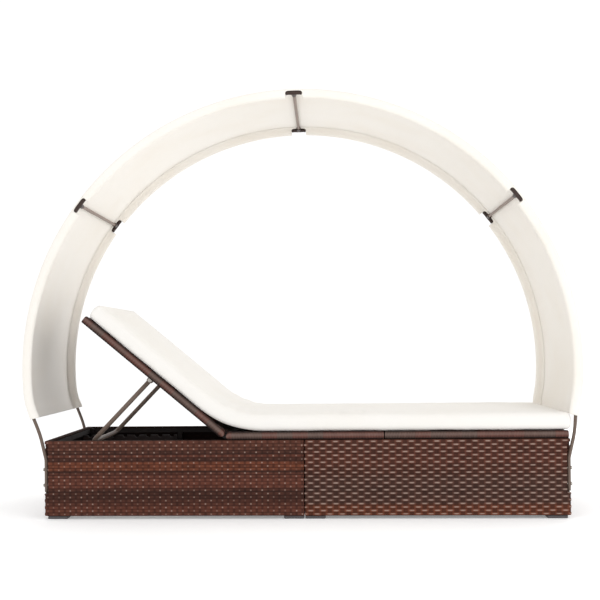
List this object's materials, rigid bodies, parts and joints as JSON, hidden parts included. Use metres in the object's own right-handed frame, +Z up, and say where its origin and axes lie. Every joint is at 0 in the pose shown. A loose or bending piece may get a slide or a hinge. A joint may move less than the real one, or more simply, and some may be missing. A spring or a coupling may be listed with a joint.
{
  "type": "outdoor daybed with canopy",
  "caption": "Long woven daybed in two box halves with a padded deck, a backrest raised on a propped frame over toothed racks, and a round cloth canopy on tube hoops.",
  "frame": {"origin": "on the floor below the middle of the canopy", "axes": "+X towards the foot end, +Y towards the far side in the picture, +Z up"},
  "size_m": [2.138, 0.7, 1.6334],
  "materials": {
    "weave": "satin flat weave in mixed browns",
    "frame_metal": "dark powder coat",
    "strap_steel": "dark powder coat",
    "tube_steel": "taupe powder coat",
    "fitting_steel": "dark brown powder coat",
    "bolt_steel": "plain zinc",
    "foot_plastic": "grey moulded",
    "canvas": "cream outdoor cloth",
    "cushion_cloth": "cream woven cover"
  },
  "bodies": {
    "base": {"canopy_cloth": "canvas", "cross_tube_crown": "tube_steel", "cross_tube_foot": "tube_steel", "cross_tube_head": "tube_steel", "foot_box_frame": "frame_metal", "foot_box_weave": "weave", "foot_foot_inner_far": "foot_plastic", "foot_foot_inner_near": "foot_plastic", "foot_foot_outer_far": "foot_plastic", "foot_foot_outer_near": "foot_plastic", "foot_head_inner_far": "foot_plastic", "foot_head_inner_near": "foot_plastic", "foot_head_outer_far": "foot_plastic", "foot_head_outer_near": "foot_plastic", "head_box_frame": "frame_metal", "head_box_weave": "weave", "hinge_pin_far": "bolt_steel", "hinge_pin_near": "bolt_steel", "hinge_seat_strap_far": "strap_steel", "hinge_seat_strap_near": "strap_steel", "hoop_far_foot_arc": "tube_steel", "hoop_far_foot_leg": "tube_steel", "hoop_far_head_arc": "tube_steel", "hoop_far_head_leg": "tube_steel", "hoop_near_foot_arc": "tube_steel", "hoop_near_foot_leg": "tube_steel", "hoop_near_head_arc": "tube_steel", "hoop_near_head_leg": "tube_steel", "leg_bolt_foot_far_lower": "bolt_steel", "leg_bolt_foot_far_upper": "bolt_steel", "leg_bolt_foot_near_lower": "bolt_steel", "leg_bolt_foot_near_upper": "bolt_steel", "leg_bolt_head_far_lower": "bolt_steel", "leg_bolt_head_far_upper": "bolt_steel", "leg_bolt_head_near_lower": "bolt_steel", "leg_bolt_head_near_upper": "bolt_steel", "mattress_fold": "cushion_cloth", "mattress_seat": "cushion_cloth", "rack_far": "frame_metal", "rack_near": "frame_metal", "seat_foot_deck": "weave", "seat_foot_frame": "weave", "seat_mid_deck": "weave", "seat_mid_frame": "weave", "tee_far_crown": "fitting_steel", "tee_far_foot": "fitting_steel", "tee_far_head": "fitting_steel", "tee_near_crown": "fitting_steel", "tee_near_foot": "fitting_steel", "tee_near_head": "fitting_steel"},
    "backrest": {"backrest_deck": "weave", "backrest_frame": "weave", "hinge_back_strap_far": "strap_steel", "hinge_back_strap_near": "strap_steel", "mattress_back": "cushion_cloth", "prop_bolt_far": "bolt_steel", "prop_bolt_near": "bolt_steel", "prop_bracket_far": "tube_steel", "prop_bracket_near": "tube_steel"},
    "prop": {"prop_frame": "tube_steel"}
  },
  "joints": [
    {"name": "backrest_tilt", "type": "hinge", "parent": "base", "child": "backrest", "pos_m": [-0.285, 0, 0.3153], "axis": [0, 1, 0], "range_deg": [-16.5, 20], "deforming": ["mattress_fold"]},
    {"name": "prop_swing", "type": "hinge", "parent": "backrest", "child": "prop", "pos_m": [-0.58965, 0, 0.52785], "axis": [0, 1, 0], "range_deg": [-46.5, 38.5]}
  ],
  "couplings": [
    {"joint": "prop_swing", "follows": "backrest_tilt", "ratio": -2.3061}
  ]
}
